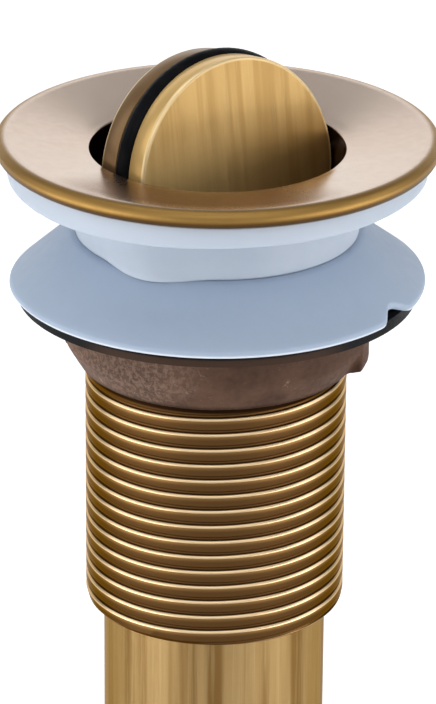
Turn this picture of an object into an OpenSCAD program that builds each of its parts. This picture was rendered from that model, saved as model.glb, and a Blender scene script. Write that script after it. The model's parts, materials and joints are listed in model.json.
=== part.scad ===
// Flip-plug basin waste. A flanged and threaded brass body hangs in the drain hole of a basin.
// A disc plug turns a quarter turn on a cross pin in its throat. Two gaskets, a washer and a
// backnut clamp the basin, and a tail pipe screws into the lower end of the body.
// Z is the drain axis, up out of the basin, and the origin is on that axis, on the basin seat.
// The plug turns about X. It is drawn open, with its face towards -Y.

/* [Tail pipe] */
// Outside diameter of the tail pipe
tail_d = 32; // [28:0.5:40]
// Wall of the tail pipe
tail_wall = 1.2; // [0.8:0.1:2]
// Length of the tail pipe below the body
tail_l = 128; // [40:1:250]
// Height of the thread at the top of the tail pipe
tail_thread_h = 0.25; // [0.15:0.05:0.6]
// Depth of the socket that the tail pipe screws into
socket_l = 17.5; // [8:0.5:25]
// Width of the shoulder at the top of the socket
shoulder_w = 0.8; // [0.4:0.1:1.5]
// Thickness of the flat seal above the tail pipe
tail_seal_t = 1.5; // [1:0.1:3]
// Break of the lower edge of the tail pipe
tail_edge = 0.4; // [0.1:0.1:0.6]

/* [Body] */
// Wall of the barrel, from the socket out to the thread crests
barrel_wall = 2.3; // [1.8:0.1:5]
// Height from the top of the flange to the end of the thread
body_h = 70.6; // [60:0.1:120]
// Chamfer at the end of the thread
thread_chamfer = 0.7; // [0.4:0.1:1.6]
// Width of the step from the thread out to the neck
neck_step = 0.5; // [0.3:0.1:2]
// Wall of the neck round the throat
neck_wall = 1.6; // [1.3:0.05:3]

/* [Flange] */
// Outside diameter of the flange
flange_d = 62.2; // [56:0.2:90]
// Thickness of the flange at its rounded edge
flange_t = 2.6; // [2.2:0.1:4]
// Depth of the dished top, from the edge down to the mouth
dish_drop = 1.9; // [0.8:0.1:2.2]
// Power of the curve of the dish, where 1 is a straight cone
dish_power = 1.5; // [1:0.1:3]
// How much wider the mouth is than the throat, in radius
mouth_flare = 0.4; // [0.2:0.1:0.8]
// Radius of the lip where the dish rolls over into the mouth
lip_r = 0.3; // [0.2:0.1:1]
// Width of the thickened root under the flange
root_w = 3.5; // [1:0.1:5]
// Height of that root
root_h = 1; // [0.4:0.1:1.8]

/* [Plug] */
// Thickness of the plug
plug_t = 9.8; // [8:0.1:11]
// Depth of the closed plug's face below the top of the flange
plug_recess = 0.7; // [0:0.05:1]
// Chamfer round both faces of the plug
plug_edge = 0.4; // [0.2:0.1:1]
// Cord diameter of the seal ring in the plug's rim
seal_cord = 3; // [2.6:0.1:4.2]
// Diameter of the cross pin
pin_d = 2; // [1.4:0.1:2.2]
// How far the plug stands open, in degrees from closed
open_angle = 82; // [0:1:90]

/* [Top gasket] */
// How far the gasket stays inside the edge of the flange
gasket_setback = 1.7; // [0.5:0.1:5]
// Thickness of the gasket between flange and basin
gasket_rim_t = 3.2; // [2:0.1:6]
// Wall of the skirt round the neck
skirt_wall = 0.8; // [0.6:0.1:1.8]
// Length of the skirt below the basin seat
skirt_l = 8.4; // [6:0.1:14]
// Rounding of the gasket's lower edge
gasket_round = 0.5; // [0.2:0.1:1.4]

/* [Cone gasket and washer] */
// How far the cone gasket stays inside the edge of the flange
cone_setback = 1.7; // [0.5:0.05:5]
// Height of the cone gasket
cone_h = 7.6; // [5:0.1:14]
// Thickness of its outer edge
cone_edge_t = 0.9; // [0.6:0.1:2.5]
// Width of its flat top
cone_top_w = 1.6; // [1.2:0.1:3]
// How far the friction washer stays inside the edge of the cone gasket
washer_setback = 1.2; // [0.2:0.05:5]
// Thickness of the friction washer
washer_t = 1.7; // [0.8:0.1:3]

/* [Backnut] */
// Height of the backnut
nut_h = 10.4; // [8:0.1:16]
// Wall of the backnut's collar
nut_wall = 3.1; // [2:0.1:5]
// Height of the tapered lower end of the collar
nut_taper_h = 4; // [2:0.1:6]
// Wall left at the lower end of the taper
nut_end_wall = 0.7; // [0.3:0.1:1.5]
// How far the lugs stand out from the collar
lug_out = 0.1; // [0.1:0.1:4]
// Angle that each lug covers
lug_span = 14; // [10:1:60]
// Angle of the first lug from +X
lug_angle = -51; // [-180:1:180]
// Rounding of the lugs' lower corner
lug_round = 0.6; // [0.3:0.1:2.3]
// Height of the lugs' foot above the lower end of the collar
lug_lift = 0.2; // [0.2:0.1:4]
// How far the lugs' underside rises from its foot to its corner
lug_rise = 0.6; // [0.2:0.1:2]

/* [Fits] */
// Gap between mating threads
thread_gap = 0.05; // [0.02:0.01:0.15]
// Gap between the sliding rings and the thread
ring_gap = 0.3; // [0.2:0.05:0.8]
// Gap between the top gasket and the body
gasket_gap = 0.05; // [0.02:0.01:0.2]
// Running gap between the cross pin and the plug
pin_gap = 0.05; // [0.02:0.01:0.1]
// How far the cross pin stays inside the neck
pin_inset = 0.1; // [0:0.05:0.4]
// Gap between the turning plug and the throat
swing_gap = 0.2; // [0.1:0.05:0.5]
// Gap between the plug and its stop ledge
stop_gap = 0.25; // [0.1:0.05:0.5]
// Gap round the seal ring in its groove
groove_gap = 0.05; // [0.02:0.01:0.15]

/* [Hidden] */

$fn = 160;
// Steps of each rounded stretch of an outline
arc_steps = 12;
// Overshoot of a cut past the face it opens
cut = 1;

// Radii, from the tail pipe outwards
tail_r = tail_d / 2;
tail_bore_r = tail_r - tail_wall;
tail_thread_r = tail_r + tail_thread_h;
socket_r = tail_thread_r + thread_gap;
bore_r = socket_r - shoulder_w;
thread_r = socket_r + barrel_wall;
neck_r = thread_r + neck_step;
throat_r = neck_r - neck_wall;
mouth_r = throat_r + mouth_flare;
flange_r = flange_d / 2;
edge_r = flange_t / 2;

// Levels, from the basin seat
flange_low_z = gasket_rim_t;
flange_top_z = flange_low_z + flange_t;
edge_z = flange_low_z + edge_r;
mouth_z = flange_top_z - dish_drop;
neck_end_z = -skirt_l;
body_end_z = flange_top_z - body_h;
socket_top_z = body_end_z + socket_l;
tail_top_z = socket_top_z - tail_seal_t;
tail_end_z = body_end_z - tail_l;

// The plug turns inside a ball that the throat runs into
pivot_z = flange_top_z - plug_recess - plug_t / 2;
swing_r = throat_r - swing_gap;
plug_r = sqrt(swing_r ^ 2 - (plug_t / 2 - plug_edge) ^ 2);
seal_ring_r = swing_r - seal_cord / 2;
groove_r = seal_ring_r - seal_cord / 2 - groove_gap;
groove_w = seal_cord + 2 * groove_gap;
ball_angle = acos(bore_r / throat_r);
ball_end_z = pivot_z - throat_r * sin(ball_angle);
ledge_reach = plug_t / 2 + stop_gap;

// Rings that slide on the thread, stacked below the skirt
ring_r = thread_r + ring_gap;
cone_r = flange_r - cone_setback;
washer_r = cone_r - washer_setback;
cone_low_z = neck_end_z - cone_h;
washer_low_z = cone_low_z - washer_t;
nut_low_z = washer_low_z - nut_h;
nut_bore_r = thread_r + thread_gap;
nut_r = nut_bore_r + nut_wall;
lug_r = nut_r + lug_out;

// Points along an arc from angle a0 to a1
function arc(x, z, r, a0, a1) = [
    for (i = [0 : arc_steps])
        let (a = a0 + (a1 - a0) * i / arc_steps)
        [x + r * cos(a), z + r * sin(a)]
];

// Points down the dish, from the flange's edge in to the lip
function dish(r_out, r_in) = [
    for (i = [1 : arc_steps - 1])
        let (t = 1 - i / arc_steps)
        [r_in + (r_out - r_in) * t, mouth_z + dish_drop * t ^ dish_power]
];

// Lies along X at the pivot of the plug
module across(d, l) {
    translate([0, 0, pivot_z])
        rotate([0, 90, 0])
            cylinder(d = d, h = l, center = true);
}

// Stands a piece of the plug, drawn closed about its own centre, open at the pivot
module opened() {
    translate([0, 0, pivot_z])
        rotate([open_angle, 0, 0])
            children();
}

module ring(r_in, r_out, z_low, z_high) {
    rotate_extrude()
        translate([r_in, z_low])
            square([r_out - r_in, z_high - z_low]);
}

// Crescent behind the plug: its top stops the plug closed, and its two ends stop it open
module stop_ledge() {
    low_z = ball_end_z - cut;
    translate([0, 0, low_z])
        linear_extrude(pivot_z - ledge_reach - low_z)
            difference() {
                intersection() {
                    circle(r = throat_r);
                    translate([-throat_r, ledge_reach])
                        square([2 * throat_r, throat_r]);
                }
                circle(r = bore_r);
            }
}

module waste_body() {
    outside = concat(
        [[socket_r, body_end_z], [thread_r - thread_chamfer, body_end_z]],
        [[thread_r, body_end_z + thread_chamfer], [thread_r, neck_end_z]],
        [[neck_r, neck_end_z + neck_step], [neck_r, flange_low_z - root_h]],
        [[neck_r + root_w, flange_low_z]],
        arc(flange_r - edge_r, edge_z, edge_r, -90, 90)
    );
    inside = concat(
        dish(flange_r - edge_r, mouth_r + lip_r),
        arc(mouth_r + lip_r, mouth_z - lip_r, lip_r, 90, 180),
        arc(0, pivot_z, throat_r, 0, -ball_angle),
        [[bore_r, socket_top_z], [socket_r, socket_top_z]]
    );
    color("#b08a52")
        difference() {
            union() {
                rotate_extrude()
                    polygon(concat(outside, inside));
                stop_ledge();
            }
            across(pin_d, 2 * (neck_r + cut));
        }
}

module top_gasket() {
    rim_r = flange_r - gasket_setback;
    hole_r = neck_r + gasket_gap;
    root_z = flange_low_z - root_h;
    outline = concat(
        [[hole_r, neck_end_z], [hole_r + skirt_wall, neck_end_z], [hole_r + skirt_wall, 0]],
        arc(rim_r - gasket_round, gasket_round, gasket_round, -90, 0),
        [[rim_r, flange_low_z], [hole_r + root_w, flange_low_z], [hole_r, root_z]]
    );
    color("#cfd8e4")
        rotate_extrude()
            polygon(outline);
}

module pivot_pin() {
    color("#c8c8c4")
        across(pin_d, 2 * (neck_r - pin_inset));
}

module plug_disc() {
    half = plug_t / 2;
    groove = groove_w / 2;
    outline = [
        [0, -half], [plug_r - plug_edge, -half], [plug_r, plug_edge - half],
        [plug_r, -groove], [groove_r, -groove], [groove_r, groove], [plug_r, groove],
        [plug_r, half - plug_edge], [plug_r - plug_edge, half], [0, half]
    ];
    color("#c8a566")
        difference() {
            opened()
                rotate_extrude()
                    polygon(outline);
            across(pin_d + 2 * pin_gap, 2 * throat_r);
        }
}

module plug_seal() {
    color("#15181a")
        difference() {
            opened()
                rotate_extrude()
                    translate([seal_ring_r, 0])
                        circle(d = seal_cord);
            across(pin_d + 2 * pin_gap, 2 * throat_r);
        }
}

module cone_gasket() {
    outline = [
        [ring_r, cone_low_z], [cone_r, cone_low_z], [cone_r, cone_low_z + cone_edge_t],
        [ring_r + cone_top_w, neck_end_z], [ring_r, neck_end_z]
    ];
    color("#bcc8d8")
        rotate_extrude()
            polygon(outline);
}

module friction_washer() {
    color("#1a1a1a")
        ring(ring_r, washer_r, washer_low_z, cone_low_z);
}

// One of the two lugs that a wrench turns the backnut by
module lug(angle) {
    low_z = nut_low_z + lug_lift;
    foot_r = nut_bore_r + nut_end_wall / 2;
    outline = concat(
        [[foot_r, low_z]],
        arc(lug_r - lug_round, low_z + lug_rise + lug_round, lug_round, -90, 0),
        [[lug_r, washer_low_z], [foot_r, washer_low_z]]
    );
    rotate([0, 0, angle - lug_span / 2])
        rotate_extrude(angle = lug_span)
            polygon(outline);
}

module backnut() {
    outline = [
        [nut_bore_r, nut_low_z], [nut_bore_r + nut_end_wall, nut_low_z],
        [nut_r, nut_low_z + nut_taper_h], [nut_r, washer_low_z], [nut_bore_r, washer_low_z]
    ];
    color("#5a4a3f") {
        rotate_extrude()
            polygon(outline);
        for (turn = [0, 180])
            lug(lug_angle + turn);
    }
}

module tail_seal() {
    color("#1a1a1a")
        ring(tail_bore_r, socket_r - thread_gap, tail_top_z, socket_top_z);
}

module tail_pipe() {
    outline = [
        [tail_bore_r, tail_end_z], [tail_r - tail_edge, tail_end_z],
        [tail_r, tail_end_z + tail_edge], [tail_r, body_end_z], [tail_thread_r, body_end_z],
        [tail_thread_r, tail_top_z], [tail_bore_r, tail_top_z]
    ];
    color("#b8935a")
        rotate_extrude()
            polygon(outline);
}

waste_body();
top_gasket();
pivot_pin();
plug_disc();
plug_seal();
cone_gasket();
friction_washer();
backnut();
tail_seal();
tail_pipe();
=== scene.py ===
import json
from math import atan2, cos, degrees, hypot, pi, radians, sin, sqrt

import bmesh
import bpy
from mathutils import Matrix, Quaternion, Vector, noise


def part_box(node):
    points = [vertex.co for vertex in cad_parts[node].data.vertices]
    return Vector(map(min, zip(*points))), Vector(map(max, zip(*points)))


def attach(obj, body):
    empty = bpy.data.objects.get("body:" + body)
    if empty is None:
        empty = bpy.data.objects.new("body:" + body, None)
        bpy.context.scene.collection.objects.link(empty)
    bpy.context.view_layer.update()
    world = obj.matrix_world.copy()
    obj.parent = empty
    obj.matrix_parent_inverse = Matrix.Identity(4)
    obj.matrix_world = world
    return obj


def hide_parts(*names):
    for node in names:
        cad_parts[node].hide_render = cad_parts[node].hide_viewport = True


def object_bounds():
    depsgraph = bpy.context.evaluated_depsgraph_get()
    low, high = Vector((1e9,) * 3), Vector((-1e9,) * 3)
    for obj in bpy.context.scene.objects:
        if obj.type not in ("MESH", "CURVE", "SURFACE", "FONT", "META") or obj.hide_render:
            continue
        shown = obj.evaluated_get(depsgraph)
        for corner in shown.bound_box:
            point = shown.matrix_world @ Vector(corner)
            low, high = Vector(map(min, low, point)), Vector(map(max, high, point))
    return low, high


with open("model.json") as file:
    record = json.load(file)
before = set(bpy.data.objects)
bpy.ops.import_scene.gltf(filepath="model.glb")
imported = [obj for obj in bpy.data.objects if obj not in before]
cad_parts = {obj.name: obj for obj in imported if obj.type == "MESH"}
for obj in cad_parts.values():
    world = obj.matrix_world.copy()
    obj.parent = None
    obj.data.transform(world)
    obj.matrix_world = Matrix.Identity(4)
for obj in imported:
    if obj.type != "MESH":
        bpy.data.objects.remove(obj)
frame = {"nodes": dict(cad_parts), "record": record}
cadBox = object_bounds()
nodes = frame["nodes"]
scene = bpy.context.scene
mm = 0.001
turnSteps = 144  # steps of a full turn, the same on every turned piece
mergeGap = 0.002  # mm, points nearer to each other than this become one
sharpEdge = 38  # degrees, edges that turn more than this stay crisp
grainRange = (0.3, 0.7)  # nearly all of a fine noise lies between these
motion = frame["record"]["behaviour"]
pitch = motion["couplings"][0]["ratio"] * 2 * pi / mm  # the backnut's travel in one turn
pivotZ = motion["joints"][0]["pos_m"][2] / mm


def extent(node):
    # radius, lowest and highest point of a round node, in mm
    low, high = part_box(node)
    return high[0] / mm, low[2] / mm, high[2] / mm


flangeR, bodyEnd, flangeTop = extent("waste_body")
rimR, skirtLow, flangeLow = extent("top_gasket")
coneR, coneLow, coneTop = extent("cone_gasket")
washerLow = extent("friction_washer")[1]
nutLow, nutTop = extent("backnut")[1:]
print("frame loaded with", len(nodes), "nodes")

# the photo's camera, close enough for the ellipses to open towards the tail
photoView = {
    "azimuth": -38, "elevation": 22.9, "roll": 0.45,  # degrees
    "distance": 0.6377, "frameHeight": 0.10003,  # metres
    "aimHeight": -0.02731, "aimRight": 0.00027,
    "sensor": 36,  # mm
}
azimuth = radians(photoView["azimuth"])
elevation = radians(photoView["elevation"])
viewRight = Vector((cos(azimuth), sin(azimuth), 0))
viewBack = Vector((-sin(azimuth), cos(azimuth), 0))
viewUp = Vector((0, 0, 1))


def placeCamera():
    towards = viewUp * sin(elevation) - viewBack * cos(elevation)
    aim = viewUp * photoView["aimHeight"] + viewRight * photoView["aimRight"]
    lens = bpy.data.cameras.new("photoLens")
    lens.sensor_fit = "VERTICAL"
    lens.sensor_height = photoView["sensor"]
    lens.lens = photoView["sensor"] * photoView["distance"] / photoView["frameHeight"]
    camera = bpy.data.objects.new("photoCamera", lens)
    camera.location = aim + towards * photoView["distance"]
    tilt = towards.to_track_quat("Z", "Y") @ Quaternion((0, 0, 1), radians(photoView["roll"]))
    camera.rotation_euler = tilt.to_euler()
    scene.collection.objects.link(camera)
    scene.camera = camera


placeCamera()
scene.view_settings.view_transform = "Standard"
print("camera placed")

# places in metres to the right of, behind and above the waste, then width, height and watts
softboxes = {
    "boxAbove": (-0.05, -0.12, 1.0, 1.3, 0.4, 2.6),
    "boxBehind": (0.0, 1.6, 0.4, 3.2, 0.8, 7.9),
    "boxHigh": (0.0, 1.4, 1.3, 2.6, 0.9, 2.4),
    "boxLeft": (-1.15, -0.75, 0.1, 1.0, 0.9, 3.6),
    "sideLeft": (-1.3, 0.05, 0.6, 0.9, 0.8, 2.8),
    "sideRight": (1.3, 0.05, 0.6, 0.9, 0.8, 2.8),
    "boxRight": (1.2, -0.6, 0.04, 1.1, 0.5, 2.3),
    "cardLeft": (-0.40, -0.18, -0.12, 0.5, 0.14, 0.8),
    "cardRight": (0.40, -0.18, -0.12, 0.5, 0.14, 0.65),
    "boxFront": (0.0, -0.95, 0.85, 1.6, 0.7, 5.0),
}
studio = {
    "aimHeight": -0.03,  # metres, where every softbox points
    "skyTone": (0.93, 0.96, 1.0), "skyStrength": 0.22,
    "floorTone": (0.86, 0.87, 0.88), "floorLift": 0.5, "floorSize": 6, "floorRough": 0.9,
}


def hangSoftbox(name, right, back, up, width, height, watts):
    lamp = bpy.data.lights.new(name, "AREA")
    lamp.shape = "RECTANGLE"
    lamp.size = width
    lamp.size_y = height
    lamp.energy = watts
    box = bpy.data.objects.new(name, lamp)
    box.location = viewRight * right + viewBack * back + viewUp * up
    aim = box.location - Vector((0, 0, studio["aimHeight"]))
    box.rotation_euler = aim.to_track_quat("Z", "Y").to_euler()
    box.visible_camera = False
    scene.collection.objects.link(box)


for boxName, place in softboxes.items():
    hangSoftbox(boxName, *place)


# node helpers: a value that is a socket gets linked, any other is set
def setInputs(tree, made, inputs):
    for key, value in inputs.items():
        if isinstance(value, bpy.types.NodeSocket):
            tree.links.new(value, made.inputs[key])
        else:
            made.inputs[key].default_value = value


def addNode(tree, kind, inputs, **options):
    made = tree.nodes.new("ShaderNode" + kind)
    for key, value in options.items():
        setattr(made, key, value)
    setInputs(tree, made, inputs)
    return made.outputs


def maths(tree, operation, first, second=0.0):
    return addNode(tree, "Math", {0: first, 1: second}, operation=operation)[0]


def vectorMaths(tree, operation, first, second=(0, 0, 0)):
    return addNode(tree, "VectorMath", {0: first, 1: second}, operation=operation)


def ramp(tree, value, limits, out=(0.0, 1.0)):
    made = addNode(tree, "MapRange", {"Value": value, "From Min": limits[0], "From Max": limits[1],
                                      "To Min": out[0], "To Max": out[1]}, interpolation_type="SMOOTHSTEP")
    return made["Result"]


def fade(tree, place, start, span, out=(0.0, 1.0)):
    # a ramp over a span in mm, counted from a start
    return ramp(tree, place, [(start + end) * mm for end in span], out)


def mixTone(tree, share, first, second):
    first, second = [(*tone, 1) if isinstance(tone, tuple) else tone for tone in (first, second)]
    return addNode(tree, "Mix", {0: share, 6: first, 7: second}, data_type="RGBA")[2]  # its colour sockets


def addNoise(tree, vector, scale, detail, rough, distortion=0.0):
    made = addNode(tree, "TexNoise", {"Vector": vector, "Scale": scale, "Detail": detail,
                                      "Roughness": rough, "Distortion": distortion})
    return made["Fac"]


def roughen(tree, shader, height, strength, distance):
    bump = addNode(tree, "Bump", {"Height": height, "Strength": strength, "Distance": distance})
    tree.links.new(bump["Normal"], shader.inputs["Normal"])


def splitAxes(tree, vector):
    return addNode(tree, "SeparateXYZ", {0: vector})


def flatten(tree, vector):
    return vectorMaths(tree, "MULTIPLY", vector, (1, 1, 0))[0]


def axisDistance(tree, vector):
    return vectorMaths(tree, "LENGTH", flatten(tree, vector))["Value"]


def heading(angle):
    return cos(radians(angle)), sin(radians(angle)), 0


def facing(tree, vector, way):
    # 1 where a point lies that way from the axis, 0 at right angles to it
    unit = vectorMaths(tree, "NORMALIZE", flatten(tree, vector))[0]
    return vectorMaths(tree, "DOT_PRODUCT", unit, way)["Value"]


# mesh helpers: outlines are (radius, height) in mm, drawn over +X and turned about Z
def drawOutline(bm, points, closed=False):
    corners = [bm.verts.new((r * mm, 0, z * mm)) for r, z in points]
    for first, second in zip(corners, corners[1:]):
        bm.edges.new((first, second))
    if closed:
        bm.edges.new((corners[-1], corners[0]))
    return corners


def arcPoints(r, z, radius, start, end, count):
    turns = [radians(start + (end - start) * i / count) for i in range(count + 1)]
    return [(r + radius * cos(t), z + radius * sin(t)) for t in turns]


def roundOff(bm, corners, radius, segments):
    bmesh.ops.bevel(bm, geom=corners, affect="VERTICES", offset=radius * mm, offset_type="OFFSET",
                    segments=segments, profile=0.5, material=-1, clamp_overlap=True)


def closeUp(bm):
    bmesh.ops.remove_doubles(bm, verts=bm.verts[:], dist=mergeGap * mm)
    bmesh.ops.recalc_face_normals(bm, faces=bm.faces[:])


def turnRound(bm, steps=turnSteps):
    bmesh.ops.spin(bm, geom=bm.verts[:] + bm.edges[:], cent=(0, 0, 0), axis=(0, 0, 1), dvec=(0, 0, 0),
                   angle=2 * pi, steps=steps, use_merge=True)
    closeUp(bm)


def turnAbout(bm, axis, angle):
    bmesh.ops.rotate(bm, verts=bm.verts[:], cent=(0, 0, 0), matrix=Quaternion(axis, angle).to_matrix())


def liftTo(bm, height):
    bmesh.ops.translate(bm, verts=bm.verts[:], vec=(0, 0, height))


def longEdges(bm, rise):
    return [e for e in bm.edges if abs(e.verts[0].co.z - e.verts[1].co.z) > rise * mm]


def joinShapes(makers):
    joined = bmesh.new()
    for make in makers:
        part = bmesh.new()
        make(part)
        mesh = bpy.data.meshes.new("joining")
        part.to_mesh(mesh)
        part.free()
        joined.from_mesh(mesh)
        bpy.data.meshes.remove(mesh)
    return joined


def addObject(name, bm):
    mesh = bpy.data.meshes.new(name)
    bm.to_mesh(mesh)
    bm.free()
    made = bpy.data.objects.new(name, mesh)
    scene.collection.objects.link(made)
    return made


def applyModifiers(piece):
    bpy.context.view_layer.update()
    mesh = bpy.data.meshes.new_from_object(piece.evaluated_get(bpy.context.evaluated_depsgraph_get()))
    piece.modifiers.clear()
    piece.data = mesh
    return mesh


def finishPiece(name, bm, node, body, skin, sharpAngle=sharpEdge):
    piece = addObject(name, bm)
    mesh = piece.data
    mesh.shade_smooth()
    mesh.set_sharp_from_angle(angle=radians(sharpAngle))
    mesh.materials.append(skin)
    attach(piece, body)
    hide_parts(node)
    print(name, "made with", len(mesh.polygons), "faces")
    return piece


def setSky():
    sky = bpy.data.worlds.new("studioSky")
    sky.use_nodes = True
    back = sky.node_tree.nodes["Background"]
    back.inputs["Color"].default_value = (*studio["skyTone"], 1)
    back.inputs["Strength"].default_value = studio["skyStrength"]
    scene.world = sky


def layFloor():
    bm = bmesh.new()
    bmesh.ops.create_grid(bm, x_segments=1, y_segments=1, size=studio["floorSize"])
    liftTo(bm, cadBox[0][2])
    floor = addObject("paleFloor", bm)
    skin = bpy.data.materials.new("floorPaper")
    skin.use_nodes = True
    tree = skin.node_tree
    paper = tree.nodes["Principled BSDF"]
    setInputs(tree, paper, {"Base Color": (*studio["floorTone"], 1), "Roughness": studio["floorRough"],
                            "Specular IOR Level": 0, "Emission Color": (1, 1, 1, 1)})
    # the sheet glows a little where it is looked at, so it reads as white paper and keeps its shadow
    path = addNode(tree, "LightPath", {})
    seen = maths(tree, "MAXIMUM", path["Is Camera Ray"], path["Is Glossy Ray"])
    seen = maths(tree, "MAXIMUM", seen, path["Is Transmission Ray"])
    lift = maths(tree, "MULTIPLY", seen, studio["floorLift"])
    tree.links.new(lift, paper.inputs["Emission Strength"])
    floor.data.materials.append(skin)


setSky()
layFloor()
print("floor, sky and softboxes set")

# shared effects, as node groups
mottleLook = {"broadDetail": 5.0, "broadRough": 0.6, "grainFiner": 9.0, "grainDetail": 3.0, "grainRough": 0.7,
              "grainShare": 0.25, "cloudRange": (0.45, 0.8)}
streakLook = {"broadScale": 1.0, "broadDetail": 2.0, "broadRough": 0.5,
              "fineScale": 5.0, "fineDetail": 3.0, "fineRough": 0.65}


def startGroup(name, inputs, outputs):
    group = bpy.data.node_groups.new(name, "ShaderNodeTree")
    for socket, kind in inputs.items():
        group.interface.new_socket(socket, in_out="INPUT", socket_type="NodeSocket" + kind)
    for socket in outputs:
        group.interface.new_socket(socket, in_out="OUTPUT", socket_type="NodeSocketFloat")
    return group, group.nodes.new("NodeGroupInput").outputs, group.nodes.new("NodeGroupOutput")


def makeMottle():
    # cloudy tarnish: broad clouds broken up by a finer grain
    s = mottleLook
    group, given, result = startGroup(
        "tarnishMottle", {"Vector": "Vector", "Size": "Float"}, ("Clouds", "Grain"))
    broad = addNoise(group, given["Vector"], given["Size"], s["broadDetail"], s["broadRough"])
    finer = maths(group, "MULTIPLY", given["Size"], s["grainFiner"])
    grain = addNoise(group, given["Vector"], finer, s["grainDetail"], s["grainRough"])
    blend = addNode(group, "Math", {0: grain, 1: s["grainShare"], 2: broad}, operation="MULTIPLY_ADD")[0]
    setInputs(group, result, {"Clouds": ramp(group, blend, s["cloudRange"]), "Grain": grain})
    return group


def makeStreaks():
    # brush marks that run along the vector's Z
    s = streakLook
    group, given, result = startGroup(
        "brushStreaks", {"Vector": "Vector", "Width": "Float", "Length": "Float"}, ("Broad", "Fine"))
    across = maths(group, "DIVIDE", 1.0, given["Width"])
    along = maths(group, "DIVIDE", 1.0, given["Length"])
    stretch = addNode(group, "CombineXYZ", {"X": across, "Y": across, "Z": along})[0]
    laid = vectorMaths(group, "MULTIPLY", given["Vector"], stretch)[0]
    setInputs(group, result, {
        "Broad": addNoise(group, laid, s["broadScale"], s["broadDetail"], s["broadRough"]),
        "Fine": addNoise(group, laid, s["fineScale"], s["fineDetail"], s["fineRough"])})
    return group


def useGroup(tree, group, inputs):
    made = tree.nodes.new("ShaderNodeGroup")
    made.node_tree = group
    setInputs(tree, made, inputs)
    return made.outputs


def startMaterial(name, constants):
    skin = bpy.data.materials.new(name)
    skin.use_nodes = True
    tree = skin.node_tree
    shader = tree.nodes["Principled BSDF"]
    setInputs(tree, shader, constants)
    coords = addNode(tree, "TexCoord", {})["Object"]
    return skin, tree, shader, coords


mottle = makeMottle()
streaks = makeStreaks()
print("node groups ready")

# waste body: dished flange, neck and rolled thread in one casting
bodyShape = {
    "edgeR": (flangeTop - flangeLow) / 2, "mouthZ": flangeTop - 1.9, "dishPower": 0.78, "dishSteps": 14,
    "lipR": 0.3, "mouthR": 17.9, "throatR": 17.5, "boreR": 15.5,
    "socketTop": bodyEnd + 17.5, "socketR": 16.3,
    "rootW": 3.5, "rootH": 1, "neckR": 19.1, "neckStep": 0.5,
    "threadR": 18.6, "threadTop": skirtLow - 0.3, "endChamfer": 0.7,
    "ledgeY": 5.15, "ledgeTop": pivotZ - 5.15, "ledgeLow": -8.2, "ledgeBite": 0.25,
    "sharpAngle": 32,
}
threadShape = {
    "crest": 1.5, "lowerFlank": 0.3, "upperFlank": 0.3, "depth": 0.42,
    "crestZ": -28.92,  # height of one crest's upper edge over +X
    "upperRound": 0.24, "lowerRound": 0.14, "runOut": 1.3,
    "spareTurns": 2,  # past either end, flattened away afterwards
    "sliver": 0.001,  # mm, shorter edges go
}


def cutThread(bm):
    s, t = bodyShape, threadShape
    rootR = s["threadR"] - t["depth"]
    spare = t["spareTurns"] * pitch
    z = t["crestZ"]
    while z < s["threadTop"] + spare:
        z += pitch
    points, upper, lower = [], [], []
    while z > bodyEnd - spare:
        upper.append(len(points))
        lower.append(len(points) + 1)
        points += [(s["threadR"], z), (s["threadR"], z - t["crest"]),
                   (rootR, z - t["crest"] - t["lowerFlank"]), (rootR, z - pitch + t["upperFlank"])]
        z -= pitch
    corners = drawOutline(bm, points)
    upper = [corners[i] for i in upper[1:]]
    lower = [corners[i] for i in lower]
    roundOff(bm, upper, t["upperRound"], segments=4)
    roundOff(bm, [v for v in lower if v.is_valid], t["lowerRound"], segments=2)
    # one turn climbs by one pitch, so the seam closes on itself
    bmesh.ops.spin(bm, geom=bm.verts[:] + bm.edges[:], cent=(0, 0, 0), axis=(0, 0, 1),
                   dvec=(0, 0, pitch * mm / turnSteps), angle=2 * pi, steps=turnSteps, use_merge=False)
    for v in bm.verts:
        v.co.z = min(max(v.co.z, bodyEnd * mm), s["threadTop"] * mm)
        height = v.co.z / mm
        reach = s["threadR"] - s["endChamfer"] + (height - bodyEnd)
        reach = min(reach, rootR + (s["threadTop"] - height) * t["depth"] / t["runOut"])
        radius = hypot(v.co.x, v.co.y) / mm
        if radius > reach:
            v.co.x *= reach / radius
            v.co.y *= reach / radius
    bmesh.ops.remove_doubles(bm, verts=bm.verts[:], dist=mergeGap * mm)
    bmesh.ops.dissolve_degenerate(bm, edges=bm.edges[:], dist=t["sliver"] * mm)


def turnShell(bm):
    s = bodyShape
    rootR = s["threadR"] - threadShape["depth"]
    outside = [(rootR, s["threadTop"]), (s["threadR"], skirtLow), (s["neckR"], skirtLow + s["neckStep"]),
               (s["neckR"], flangeLow - s["rootH"]), (s["neckR"] + s["rootW"], flangeLow)]
    outer = flangeR - s["edgeR"]
    inner = s["mouthR"] + s["lipR"]
    rim = arcPoints(outer, flangeLow + s["edgeR"], s["edgeR"], start=-90, end=90, count=14)
    dish = []
    for i in range(1, s["dishSteps"]):
        share = 1 - i / s["dishSteps"]
        rise = (flangeTop - s["mouthZ"]) * share ** s["dishPower"]
        dish.append((inner + (outer - inner) * share, s["mouthZ"] + rise))
    lip = arcPoints(inner, s["mouthZ"] - s["lipR"], s["lipR"], start=90, end=180, count=5)
    drop = degrees(atan2(sqrt(s["throatR"] ** 2 - s["boreR"] ** 2), s["boreR"]))
    ball = arcPoints(0, pivotZ, s["throatR"], start=0, end=-drop, count=10)
    inside = [(s["boreR"], s["socketTop"]), (s["socketR"], s["socketTop"]), (s["socketR"], bodyEnd),
              (s["threadR"] - s["endChamfer"], bodyEnd)]
    drawOutline(bm, outside + rim + dish + lip + ball + inside)
    turnRound(bm)


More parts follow.
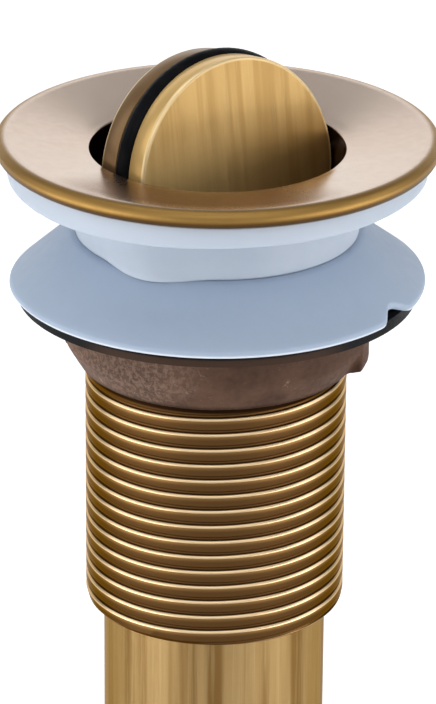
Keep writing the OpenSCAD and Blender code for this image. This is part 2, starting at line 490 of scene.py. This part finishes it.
def cutLedge(bm):
    # crescent behind the plug, cut from a turned ring
    s = bodyShape
    out = s["throatR"] + s["ledgeBite"]
    drawOutline(bm, [(s["boreR"], s["ledgeLow"]), (out, s["ledgeLow"]), (out, s["ledgeTop"]),
                     (s["boreR"], s["ledgeTop"])], closed=True)
    turnRound(bm)
    cut = bmesh.ops.bisect_plane(bm, geom=bm.verts[:] + bm.edges[:] + bm.faces[:],
                                 plane_co=(0, s["ledgeY"] * mm, 0), plane_no=(0, -1, 0), clear_outer=True)
    seam = [e for e in cut["geom_cut"] if isinstance(e, bmesh.types.BMEdge)]
    bmesh.ops.holes_fill(bm, edges=seam, sides=0)
    bmesh.ops.recalc_face_normals(bm, faces=bm.faces[:])


# satin antique brass: pale dish, gold edge, brown thread with worn crests painted bright as highlights;
# reaches are in mm
bodyTone = {
    "dish": (0.62, 0.495, 0.405), "tarnish": (0.42, 0.29, 0.19), "tarnishShare": 0.12, "cloudSize": 90.0,
    # painted reflection of the plug on the dish in front of the mouth
    "plugReflection": (0.20, 0.085, 0.022), "plugReflectionAngle": -134, "plugReflectionSpread": (0.66, 0.93),
    "plugReflectionReach": (-1.2, -4), "plugReflectionShare": (0.35, 0.9),  # in from the flange's edge
    "edge": (0.35, 0.205, 0.06), "edgeReach": (-1.6, -0.7),
    # painted shade along the underside of the gold edge
    "underEdgeShade": (0.09, 0.045, 0.012), "underShadeReach": (1.7, 0.7),  # up from the flange's underside
    # painted shade down in the throat
    "throat": (0.11, 0.05, 0.018), "throatR": (18.15, 17.95), "throatZ": (3.9, 3.6),
    "threadZ": (-8.6, -8.0),
    # worn crests, painted bright as highlights along their upper edges
    "crest": (0.88, 0.65, 0.38), "crestHighlightLow": (0.11, 0.05), "crestHighlightHigh": (0.92, 0.96),  # shares of a pitch
    # painted shade with patina: each band darkens down into the groove, and the root holds the dark tone
    "band": (0.195, 0.105, 0.036), "groove": (0.084, 0.041, 0.014), "grooveShadeShare": (0.06, 0.36),
    "turned": (0.72, 0.55, 0.38),  # what is left of the shine where the thread turns out of sight
    # painted shadow on the thread below the nut's end
    "nutShadow": (0.012, 0.005, 0.002), "nutShadowLow": (-0.9, -0.5), "nutShadowTop": (1, 0.2),  # up from the nut's end
    "satin": (0.19, 0.23), "threadDull": 0.1, "edgeDull": 0.24, "plugReflectionDull": 0.1,  # roughness
    "bump": (0.03, 0.0004),  # strength, and depth in metres
}


def bodyBrass():
    s = bodyTone
    skin, tree, shader, coords = startMaterial("bodyBrass", {"Metallic": 1.0})
    axes = splitAxes(tree, coords)
    height = axes["Z"]
    radius = axisDistance(tree, coords)
    patches = useGroup(tree, mottle, {"Vector": coords, "Size": s["cloudSize"]})
    onEdge = fade(tree, radius, flangeR, s["edgeReach"])
    onThread = fade(tree, height, 0, s["threadZ"], (1.0, 0.0))
    # painted shade: darker down in the throat
    inThroat = maths(tree, "MULTIPLY", fade(tree, radius, 0, s["throatR"]),
                     fade(tree, height, 0, s["throatZ"]))
    # where a point lies on its thread, from the crest's upper edge down to the next one
    around = maths(tree, "ARCTAN2", axes["Y"], axes["X"])
    climb = maths(tree, "MULTIPLY", around, pitch * mm / (2 * pi))
    fall = maths(tree, "SUBTRACT", maths(tree, "ADD", climb, threadShape["crestZ"] * mm), height)
    turn = maths(tree, "FRACT", maths(tree, "DIVIDE", fall, pitch * mm))
    # painted shade with patina: each crest darkens downwards from its upper edge to the groove tone, which
    # holds through the root
    band = mixTone(tree, ramp(tree, turn, s["grooveShadeShare"]), s["band"], s["groove"])
    # worn bright and painted as a highlight: each crest's upper edge gets the pale crest tone
    wornHighlight = maths(tree, "MAXIMUM", ramp(tree, turn, s["crestHighlightLow"]), ramp(tree, turn, s["crestHighlightHigh"]))
    thread = mixTone(tree, wornHighlight, band, s["crest"])
    clouds = maths(tree, "MULTIPLY", patches["Clouds"], s["tarnishShare"])
    tone = mixTone(tree, clouds, s["dish"], s["tarnish"])
    # painted reflection of the plug: browner in front of the mouth
    front = ramp(tree, facing(tree, coords, heading(s["plugReflectionAngle"])), s["plugReflectionSpread"])
    inward = fade(tree, radius, flangeR, s["plugReflectionReach"], s["plugReflectionShare"])
    paintedReflection = maths(tree, "MULTIPLY", front, inward)
    tone = mixTone(tree, paintedReflection, tone, s["plugReflection"])
    # painted shade: the gold edge darkens towards the flange's underside
    edge = mixTone(tree, fade(tree, height, flangeLow, s["underShadeReach"]), s["edge"], s["underEdgeShade"])
    tone = mixTone(tree, onEdge, tone, edge)
    tone = mixTone(tree, onThread, tone, thread)
    tone = mixTone(tree, inThroat, tone, s["throat"])
    # painted shadow: a thin dark line on the thread just below the nut's end
    nutShadowLow = fade(tree, height, nutLow, s["nutShadowLow"])
    nutShadowTop = fade(tree, height, nutLow, s["nutShadowTop"])
    tone = mixTone(tree, maths(tree, "MULTIPLY", nutShadowLow, nutShadowTop), tone, s["nutShadow"])
    tree.links.new(tone, shader.inputs["Base Color"])
    satin = ramp(tree, patches["Grain"], grainRange, s["satin"])
    threadDull = maths(tree, "MULTIPLY", onThread, s["threadDull"])
    edgeDull = maths(tree, "MULTIPLY", onEdge, s["edgeDull"])
    plugReflectionDull = maths(tree, "MULTIPLY", paintedReflection, s["plugReflectionDull"])
    duller = maths(tree, "ADD", maths(tree, "ADD", threadDull, edgeDull), plugReflectionDull)
    tree.links.new(maths(tree, "ADD", satin, duller), shader.inputs["Roughness"])
    tree.links.new(mixTone(tree, onThread, (1, 1, 1), s["turned"]), shader.inputs["Specular Tint"])
    roughen(tree, shader, maths(tree, "MULTIPLY", patches["Grain"], onThread), *s["bump"])
    return skin


bodyMesh = joinShapes([cutThread, turnShell, cutLedge])
closeUp(bodyMesh)
finishPiece("antiqueBody", bodyMesh, "waste_body", "waste", bodyBrass(),
            bodyShape["sharpAngle"])

# plug: thick disc standing open on its cross pin, a seal groove round its rim
plugShape = {
    "radius": 16.7, "thick": 9.8, "edgeRound": 0.45, "grooveR": 14.25, "grooveW": 3.1, "grooveRound": 0.2,
    "openAngle": 82, "pinHoleR": 1.05, "drillLength": 50,
}
# brushed brass, more golden than the dish; reaches are in mm
plugTone = {
    "light": (0.58, 0.37, 0.14), "deep": (0.47, 0.285, 0.098), "deepRange": (0.38, 0.62),
    "pale": (0.68, 0.48, 0.225), "paleRange": (0.5, 0.75), "paleShare": 0.35,
    # painted reflection on the lower half of the face
    "paintedBright": (0.95, 0.66, 0.27), "paintedDark": (0.30, 0.15, 0.03),
    "paintedLowY": (9, 1), "paintedSideX": (-13, 14), "paintedLowShare": (0.0, 0.6),
    # the band behind the seal is painted darker, as shade
    "band": (0.76, 0.49, 0.175), "shadedBackBand": (0.23, 0.135, 0.06),
    "bandReach": (-0.25, -0.1), "shadedBackReach": (-1, 1),
    # worn rim corners, painted pale as a highlight
    "wornHighlight": (0.93, 0.70, 0.37), "wornHighlightReach": (-0.6, -0.3),  # in from the rim and from the faces
    "markWidth": 0.0017, "markLength": 0.05,  # metres
    "brushed": (0.36, 0.46), "bandRough": 0.28, "metal": (0.7, 0.45), "specular": 0.2,
    "bump": (0.08, 0.0003),
}


def turnPlug(bm):
    s = plugShape
    half, groove = s["thick"] / 2, s["grooveW"] / 2
    corners = drawOutline(bm, [(0, -half), (s["radius"], -half), (s["radius"], -groove),
                               (s["grooveR"], -groove), (s["grooveR"], groove),
                               (s["radius"], groove), (s["radius"], half), (0, half)])
    roundOff(bm, [corners[1], corners[6]], s["edgeRound"], segments=4)
    roundOff(bm, [corners[2], corners[5]], s["grooveRound"], segments=2)
    turnRound(bm)


def brushedPlug():
    s = plugTone
    skin, tree, shader, coords = startMaterial("plugBrass", {"Specular IOR Level": s["specular"]})
    # the disc's own axes: Z through its face, Y up the open face
    shift = vectorMaths(tree, "ADD", coords, (0, 0, -pivotZ * mm))[0]
    lay = addNode(tree, "Mapping", {"Vector": shift, "Rotation": (radians(-plugShape["openAngle"]), 0, 0)})[0]
    axes = splitAxes(tree, lay)
    upright = addNode(tree, "CombineXYZ", {"X": axes["X"], "Y": axes["Z"], "Z": axes["Y"]})[0]
    radius = axisDistance(tree, lay)
    onBand = fade(tree, radius, plugShape["radius"], s["bandReach"])
    marks = useGroup(tree, streaks, {"Vector": upright, "Width": s["markWidth"], "Length": s["markLength"]})
    tone = mixTone(tree, ramp(tree, marks["Broad"], s["deepRange"]), s["deep"], s["light"])
    scratches = maths(tree, "MULTIPLY", ramp(tree, marks["Fine"], s["paleRange"]), s["paleShare"])
    tone = mixTone(tree, scratches, tone, s["pale"])
    # painted reflection: the lower half is painted bright on the left and dark on the right
    lower = fade(tree, axes["Y"], 0, s["paintedLowY"], s["paintedLowShare"])
    paintedLowerHalf = mixTone(tree, fade(tree, axes["X"], 0, s["paintedSideX"]), s["paintedBright"], s["paintedDark"])
    tone = mixTone(tree, lower, tone, paintedLowerHalf)
    # painted shade: the band behind the seal is a darker copy of the front band
    side = mixTone(tree, fade(tree, axes["Z"], 0, s["shadedBackReach"]), s["shadedBackBand"], s["band"])
    tone = mixTone(tree, onBand, tone, side)
    # worn pale and painted as a highlight round the rim's corners
    rimward = fade(tree, radius, plugShape["radius"], s["wornHighlightReach"])
    cornerward = fade(tree, maths(tree, "ABSOLUTE", axes["Z"]), plugShape["thick"] / 2, s["wornHighlightReach"])
    tone = mixTone(tree, maths(tree, "MULTIPLY", rimward, cornerward), tone, s["wornHighlight"])
    tree.links.new(tone, shader.inputs["Base Color"])
    tree.links.new(ramp(tree, onBand, (0, 1), s["metal"]), shader.inputs["Metallic"])
    brushed = ramp(tree, marks["Fine"], grainRange, s["brushed"])
    smoother = maths(tree, "MULTIPLY", onBand, maths(tree, "SUBTRACT", s["bandRough"], brushed))
    tree.links.new(maths(tree, "ADD", brushed, smoother), shader.inputs["Roughness"])
    onFace = maths(tree, "SUBTRACT", 1.0, onBand)
    roughen(tree, shader, maths(tree, "MULTIPLY", marks["Fine"], onFace), *s["bump"])
    return skin


def standOpen(bm):
    turnAbout(bm, (1, 0, 0), radians(plugShape["openAngle"]))
    liftTo(bm, pivotZ * mm)


def drillPinHole(piece):
    s = plugShape
    bm = bmesh.new()
    bmesh.ops.create_cone(bm, cap_ends=True, segments=32, radius1=s["pinHoleR"] * mm,
                          radius2=s["pinHoleR"] * mm, depth=s["drillLength"] * mm)
    turnAbout(bm, (0, 1, 0), pi / 2)
    liftTo(bm, pivotZ * mm)
    drill = addObject("pinDrill", bm)
    hole = piece.modifiers.new("pinHole", "BOOLEAN")
    hole.object = drill
    hole.operation = "DIFFERENCE"
    hole.solver = "EXACT"
    bored = applyModifiers(piece)
    bpy.data.objects.remove(drill)
    bored.shade_smooth()
    bored.set_sharp_from_angle(angle=radians(sharpEdge))


plugMesh = bmesh.new()
turnPlug(plugMesh)
standOpen(plugMesh)
plug = finishPiece("brushedPlug", plugMesh, "plug_disc", "plug", brushedPlug())
drillPinHole(plug)

# white gaskets: soft moulded silicone, bluish where it is thin
gasketShape = {
    "holeR": 19.15, "skirtR": 19.95, "rootW": 3.5, "rootH": 1,
    "rimRound": 0.5, "topRound": 0.3, "skirtRound": 0.35, "bendRound": 1.2,
    "wallRise": 4, "wallCuts": 8,  # edges that rise more are cut, to bend smoothly
    "bulgeAngle": -155, "bulgeSpan": 27, "bulgeOut": 1.9, "bulgeDrop": 0.3, "bulgePower": 1.3,
    "sagAngle": -165, "sagSpan": 55, "sagDrop": 0.45, "sagR": 22,
    "pinchAngle": -62, "pinchSpan": 45, "pinchLift": 0.35,
    "paleTop": flangeLow - 0.4, "sharpAngle": 50,
}
coneShape = {
    "holeR": 18.9, "topR": 20.5, "edgeT": 0.9, "edgeRound": 0.35, "topRound": 0.6,
    "slopeRise": 4, "slopeR": 20, "slopeCuts": 12, "finer": 3,  # times the usual steps of a turn
    "nickAngle": -68.5, "nickSpan": 8, "nickDepth": 1.6, "nickReach": 4,
    "shyAngle": 112, "shySpan": 48, "shyIn": 1.0, "shyDrop": 0.3,
    "paleTop": coneLow + 0.55, "sharpAngle": 50,
}
siliconeTone = {
    "gasket": {"body": (0.515, 0.57, 0.65), "thin": (0.43, 0.49, 0.58), "edge": (0.53, 0.59, 0.68)},
    "cone": {"body": (0.405, 0.485, 0.605), "thin": (0.36, 0.44, 0.56), "edge": (0.74, 0.80, 0.90)},
    "cloudSize": 60.0, "thinShare": 0.4, "edgeReach": (-0.5, -0.15), "paleReach": (0, -0.3),
    # painted contact shadow under the flange's rim
    "contactShadow": (0.10, 0.085, 0.07), "contactShadowReach": (-0.5, -0.15),
    "rough": (0.42, 0.55), "bump": (0.05, 0.0004),
    "milk": {"Subsurface Weight": 0.15, "Subsurface Radius": (0.8, 0.9, 1.0), "Subsurface Scale": 0.002,
             "Specular IOR Level": 0.3},
}


def milkSilicone(name, tones, edgeR, edgeTop, shadowZ=None):
    s = siliconeTone
    skin, tree, shader, coords = startMaterial(name, s["milk"])
    patches = useGroup(tree, mottle, {"Vector": coords, "Size": s["cloudSize"]})
    radius = axisDistance(tree, coords)
    height = splitAxes(tree, coords)["Z"]
    thin = maths(tree, "MULTIPLY", patches["Clouds"], s["thinShare"])
    tone = mixTone(tree, thin, tones["body"], tones["thin"])
    # painted contact shadow: darker along the top where the flange's rim sits on it
    if shadowZ is not None:
        tone = mixTone(tree, fade(tree, height, shadowZ, s["contactShadowReach"]), tone, s["contactShadow"])
    # painted light: paler along the outer edge, as a line of light
    outward = fade(tree, radius, edgeR, s["edgeReach"])
    below = fade(tree, height, edgeTop, s["paleReach"])
    tone = mixTone(tree, maths(tree, "MULTIPLY", outward, below), tone, tones["edge"])
    tree.links.new(tone, shader.inputs["Base Color"])
    tree.links.new(ramp(tree, patches["Grain"], grainRange, s["rough"]), shader.inputs["Roughness"])
    roughen(tree, shader, patches["Grain"], *s["bump"])
    return skin


def swell(angle, middle, span):
    # 1 at the middle angle, falling smoothly to 0 a span away
    off = abs((angle - middle + 180) % 360 - 180) / span
    return cos(off * pi / 2) ** 2 if off < 1 else 0


def turnGasket(bm):
    s = gasketShape
    corners = drawOutline(bm, [(s["holeR"], skirtLow), (s["skirtR"], skirtLow), (s["skirtR"], 0), (rimR, 0),
                               (rimR, flangeLow), (s["holeR"] + s["rootW"], flangeLow),
                               (s["holeR"], flangeLow - s["rootH"])], closed=True)
    roundOff(bm, [corners[1]], s["skirtRound"], segments=3)
    roundOff(bm, [corners[2]], s["bendRound"], segments=5)
    roundOff(bm, [corners[3]], s["rimRound"], segments=5)
    roundOff(bm, [corners[4]], s["topRound"], segments=3)
    bmesh.ops.subdivide_edges(bm, edges=longEdges(bm, s["wallRise"]), cuts=s["wallCuts"])
    turnRound(bm)
    # soft as it is, the skirt bulges at the front left, and the rim sags there and lifts at the front right
    for v in bm.verts:
        angle = degrees(atan2(v.co.y, v.co.x))
        radius = hypot(v.co.x, v.co.y) / mm
        low = max(0, -v.co.z / mm) / -skirtLow
        if v.co.z < 0:
            bulge = swell(angle, s["bulgeAngle"], s["bulgeSpan"]) * low ** s["bulgePower"]
            v.co.x *= 1 + s["bulgeOut"] * bulge / radius
            v.co.y *= 1 + s["bulgeOut"] * bulge / radius
            v.co.z -= s["bulgeDrop"] * bulge * mm
        outward = min(1, max(0, (radius - s["sagR"]) / (rimR - s["sagR"])))
        underside = 1 - min(1, max(0, v.co.z / mm / flangeLow))
        lift = s["pinchLift"] * swell(angle, s["pinchAngle"], s["pinchSpan"])
        sag = s["sagDrop"] * swell(angle, s["sagAngle"], s["sagSpan"])
        v.co.z += (lift - sag) * outward * underside * mm


def turnCone(bm):
    s = coneShape
    corners = drawOutline(bm, [(s["holeR"], coneLow), (coneR, coneLow), (coneR, coneLow + s["edgeT"]),
                               (s["topR"], coneTop), (s["holeR"], coneTop)], closed=True)
    roundOff(bm, [corners[1], corners[2]], s["edgeRound"], segments=3)
    roundOff(bm, [corners[3]], s["topRound"], segments=4)
    slope = [e for e in longEdges(bm, s["slopeRise"]) if min(v.co.x for v in e.verts) > s["slopeR"] * mm]
    bmesh.ops.subdivide_edges(bm, edges=slope, cuts=s["slopeCuts"])
    turnRound(bm, turnSteps * s["finer"])
    # the edge has a small bite out of it at the front right and hangs in a little at the back left
    steep = (coneTop - coneLow - s["edgeT"]) / (coneR - s["topR"])
    for v in bm.verts:
        radius = hypot(v.co.x, v.co.y) / mm
        angle = degrees(atan2(v.co.y, v.co.x))
        outward = max(0, (radius - s["topR"]) / (coneR - s["topR"]))
        shy = swell(angle, s["shyAngle"], s["shySpan"]) * outward
        nearEdge = max(0, 1 - (coneR - radius) / s["nickReach"])
        bite = s["nickDepth"] * swell(angle, s["nickAngle"], s["nickSpan"]) * nearEdge
        share = 1 - (bite + s["shyIn"] * shy) / radius
        v.co.x *= share
        v.co.y *= share
        v.co.z += (steep * bite - s["shyDrop"] * shy * outward) * mm


gasketMesh = bmesh.new()
turnGasket(gasketMesh)
gasketSkin = milkSilicone("whiteSilicone", siliconeTone["gasket"], rimR, gasketShape["paleTop"], flangeLow)
finishPiece("flangeGasket", gasketMesh, "top_gasket", "waste", gasketSkin,
            gasketShape["sharpAngle"])
coneMesh = bmesh.new()
turnCone(coneMesh)
coneSkin = milkSilicone("greySilicone", siliconeTone["cone"], coneR, coneShape["paleTop"])
finishPiece("coneGasket", coneMesh, "cone_gasket", "clamp_rings", coneSkin,
            coneShape["sharpAngle"])

# backnut: rough dark casting with two wrench lugs
nutShape = {
    "boreR": 18.65, "collarR": 21.75, "collarRound": 0.8, "taperH": 4, "endR": 19.35,
    "lugR": 21.85, "lugSpan": 14, "lugSteps": 16, "lugAngles": (-51, 129),
    "lugRound": 0.6, "lugLift": 0.2, "lugRise": 0.6,
    "grain": 0.32, "pits": 0.14,  # mm, size of the cast skin's faces and depth of its pits
    "smoothings": 2, "broadScale": 420, "broadShare": 0.6, "fineScale": 1500, "fineShare": 0.4,
}
nutTone = {
    "dark": (0.046, 0.025, 0.017), "brown": (0.135, 0.074, 0.050), "brownShare": 0.5,
    "broadSize": 60.0, "patchSize": 170.0, "fleckSize": 800.0,
    "fleckDetail": 5.0, "fleckRough": 0.75, "fleckTwist": 1.2, "fleckRange": (0.6, 0.7),
    "dustAndLitTone": (0.42, 0.28, 0.215), "dustShare": 0.75,
    "roughSide": -172, "roughReach": (0.72, 0.93),  # shares of the collar's radius
    "sandRange": (0.4, 0.62), "sandShare": (0.1, 0.4), "rareRange": (0.4, 0.8), "rareShare": (0.0, 0.8),
    # painted shade towards the bottom edge
    "bottomShade": (0.010, 0.006, 0.005), "bottomShadeReach": (1.1, 0), "bottomShadeShare": (0.0, 0.85),
    "rough": (0.5, 0.75), "specular": 0.06, "bump": (0.5, 0.0004),
}


def castCollar(bm):
    s = nutShape
    corners = drawOutline(bm, [(s["boreR"], nutLow), (s["endR"], nutLow),
                               (s["collarR"], nutLow + s["taperH"]), (s["collarR"], nutTop),
                               (s["boreR"], nutTop)], closed=True)
    roundOff(bm, [corners[2]], s["collarRound"], segments=3)
    turnRound(bm)


def lugMaker(angle):
    def castLug(bm):
        s = nutShape
        low = nutLow + s["lugLift"]
        foot = (s["boreR"] + s["endR"]) / 2
        corners = drawOutline(bm, [(foot, low), (s["lugR"], low + s["lugRise"]), (s["lugR"], nutTop),
                                   (foot, nutTop)], closed=True)
        roundOff(bm, [corners[1]], s["lugRound"], segments=6)
        bmesh.ops.contextual_create(bm, geom=bm.edges[:])
        turnAbout(bm, (0, 0, 1), radians(angle - s["lugSpan"] / 2))
        bmesh.ops.spin(bm, geom=bm.verts[:] + bm.edges[:] + bm.faces[:], cent=(0, 0, 0), axis=(0, 0, 1),
                       dvec=(0, 0, 0), angle=radians(s["lugSpan"]), steps=s["lugSteps"], use_merge=False)
        closeUp(bm)
    return castLug


def roughCast(piece):
    # one skin over collar and lugs, then the sand's pits, all of them inwards
    s = nutShape
    skin = piece.modifiers.new("castSkin", "REMESH")
    skin.mode = "VOXEL"
    skin.voxel_size = s["grain"] * mm
    cast = applyModifiers(piece)
    bm = bmesh.new()
    bm.from_mesh(cast)
    for smoothing in range(s["smoothings"]):
        bmesh.ops.smooth_vert(bm, verts=bm.verts[:], factor=0.5,
                              use_axis_x=True, use_axis_y=True, use_axis_z=True)
    bm.normal_update()
    for v in bm.verts:
        broad = noise.noise(v.co * s["broadScale"]) * 0.5 + 0.5  # from -1...1 to 0...1
        fine = noise.noise(v.co * s["fineScale"]) * 0.5 + 0.5
        v.co -= v.normal * s["pits"] * mm * (s["broadShare"] * broad + s["fineShare"] * fine)
    bm.to_mesh(cast)
    bm.free()
    cast.shade_smooth()
    print("backnut cast with", len(cast.polygons), "faces")


def castSkin():
    s = nutTone
    skin, tree, shader, coords = startMaterial("castNut", {"Specular IOR Level": s["specular"]})
    patches = useGroup(tree, mottle, {"Vector": coords, "Size": s["patchSize"]})
    broad = useGroup(tree, mottle, {"Vector": coords, "Size": s["broadSize"]})
    flecks = addNoise(tree, coords, s["fleckSize"], s["fleckDetail"], s["fleckRough"], s["fleckTwist"])
    height = splitAxes(tree, coords)["Z"]
    # one side came out of the mould rougher than the rest
    side = vectorMaths(tree, "DOT_PRODUCT", coords, heading(s["roughSide"]))["Value"]
    rough = ramp(tree, side, [share * nutShape["collarR"] * mm for share in s["roughReach"]])
    tone = mixTone(tree, broad["Clouds"], s["dark"], s["brown"])
    tone = mixTone(tree, maths(tree, "MULTIPLY", patches["Clouds"], s["brownShare"]), tone, s["brown"])
    sand = ramp(tree, patches["Grain"], s["sandRange"], s["sandShare"])
    tone = mixTone(tree, maths(tree, "MULTIPLY", rough, sand), tone, s["dustAndLitTone"])
    rare = ramp(tree, broad["Clouds"], s["rareRange"], s["rareShare"])
    dustyAndLit = maths(tree, "MULTIPLY", ramp(tree, flecks, s["fleckRange"]), maths(tree, "MAXIMUM", rare, rough))
    tone = mixTone(tree, maths(tree, "MULTIPLY", dustyAndLit, s["dustShare"]), tone, s["dustAndLitTone"])
    # painted shade: darker towards the nut's bottom edge
    tone = mixTone(tree, fade(tree, height, nutLow, s["bottomShadeReach"], s["bottomShadeShare"]), tone, s["bottomShade"])
    tree.links.new(tone, shader.inputs["Base Color"])
    tree.links.new(ramp(tree, patches["Grain"], grainRange, s["rough"]), shader.inputs["Roughness"])
    roughen(tree, shader, flecks, *s["bump"])
    return skin


nutMesh = joinShapes([castCollar] + [lugMaker(angle) for angle in nutShape["lugAngles"]])
nut = finishPiece("castBacknut", nutMesh, "backnut", "nut", castSkin())
roughCast(nut)

# the other solids keep their own shape and get a finish; widths and lengths of brush marks in metres
tailTone = {
    "light": (0.31, 0.20, 0.082), "deep": (0.17, 0.092, 0.028), "deepRange": (0.34, 0.6),
    "pale": (0.38, 0.27, 0.13), "paleRange": (0.45, 0.75), "paleShare": 0.5,
    "cloudSize": 50.0, "cloudShare": 0.15,
    "shift": 7,  # mm, slides the brush marks round the pipe
    "markWidth": 0.0028, "markLength": 0.12,
    "turned": (0.75, 0.6, 0.42, 1),  # what is left of the shine where the pipe turns out of sight
    "rough": (0.28, 0.42), "bump": (0.08, 0.0003),
}
rubberTone = {
    "black": (0.0025, 0.003, 0.004), "grey": (0.008, 0.008, 0.009), "cloudSize": 220.0,
    # painted light: the brown on the lower front stands in for the lit face
    "dustAndLitTone": (0.055, 0.032, 0.022), "litReach": (1.2, 0.8), "litSpread": (0.74, 0.88),
    "rough": (0.32, 0.5), "specular": 0.05, "bump": (0.2, 0.0003),
}
pinTone = {
    "dark": (0.42, 0.42, 0.41), "light": (0.66, 0.66, 0.64),
    "markWidth": 0.0004, "markLength": 0.01, "rough": (0.25, 0.4),
}


def brushedTail():
    s = tailTone
    skin, tree, shader, coords = startMaterial("tailBrass", {"Metallic": 1.0, "Specular Tint": s["turned"]})
    lay = addNode(tree, "Mapping", {"Vector": coords, "Location": (s["shift"] * mm, 0, 0)})[0]
    marks = useGroup(tree, streaks, {"Vector": lay, "Width": s["markWidth"], "Length": s["markLength"]})
    patches = useGroup(tree, mottle, {"Vector": coords, "Size": s["cloudSize"]})
    tone = mixTone(tree, ramp(tree, marks["Broad"], s["deepRange"]), s["deep"], s["light"])
    scratches = maths(tree, "MULTIPLY", ramp(tree, marks["Fine"], s["paleRange"]), s["paleShare"])
    tone = mixTone(tree, scratches, tone, s["pale"])
    tone = mixTone(tree, maths(tree, "MULTIPLY", patches["Clouds"], s["cloudShare"]), tone, s["deep"])
    tree.links.new(tone, shader.inputs["Base Color"])
    tree.links.new(ramp(tree, marks["Fine"], grainRange, s["rough"]), shader.inputs["Roughness"])
    roughen(tree, shader, marks["Fine"], *s["bump"])
    return skin


def blackRubber(name, dustyAndLit=False):
    s = rubberTone
    skin, tree, shader, coords = startMaterial(name, {"Specular IOR Level": s["specular"]})
    patches = useGroup(tree, mottle, {"Vector": coords, "Size": s["cloudSize"]})
    tone = mixTone(tree, patches["Clouds"], s["black"], s["grey"])
    if dustyAndLit:
        # painted light: the lower half at the front is painted brown, as its lit face
        low = fade(tree, splitAxes(tree, coords)["Z"], washerLow, s["litReach"])
        front = ramp(tree, facing(tree, coords, -viewBack), s["litSpread"])
        tone = mixTone(tree, maths(tree, "MULTIPLY", low, front), tone, s["dustAndLitTone"])
    tree.links.new(tone, shader.inputs["Base Color"])
    tree.links.new(ramp(tree, patches["Grain"], grainRange, s["rough"]), shader.inputs["Roughness"])
    roughen(tree, shader, patches["Grain"], *s["bump"])
    return skin


def pinSteel():
    s = pinTone
    skin, tree, shader, coords = startMaterial("pinSteel", {"Metallic": 1.0})
    lay = addNode(tree, "Mapping", {"Vector": coords, "Rotation": (0, radians(90), 0)})[0]
    marks = useGroup(tree, streaks, {"Vector": lay, "Width": s["markWidth"], "Length": s["markLength"]})
    tree.links.new(mixTone(tree, marks["Fine"], s["dark"], s["light"]), shader.inputs["Base Color"])
    tree.links.new(ramp(tree, marks["Fine"], grainRange, s["rough"]), shader.inputs["Roughness"])
    return skin


def dress(node, skin):
    mesh = nodes[node].data
    mesh.materials.clear()
    mesh.materials.append(skin)


rubber = blackRubber("blackRubber")
dress("tail_pipe", brushedTail())
dress("plug_seal", rubber)
dress("friction_washer", blackRubber("litFrontRubber", True))
dress("tail_seal", rubber)
dress("pivot_pin", pinSteel())
print("carried-over solids dressed")
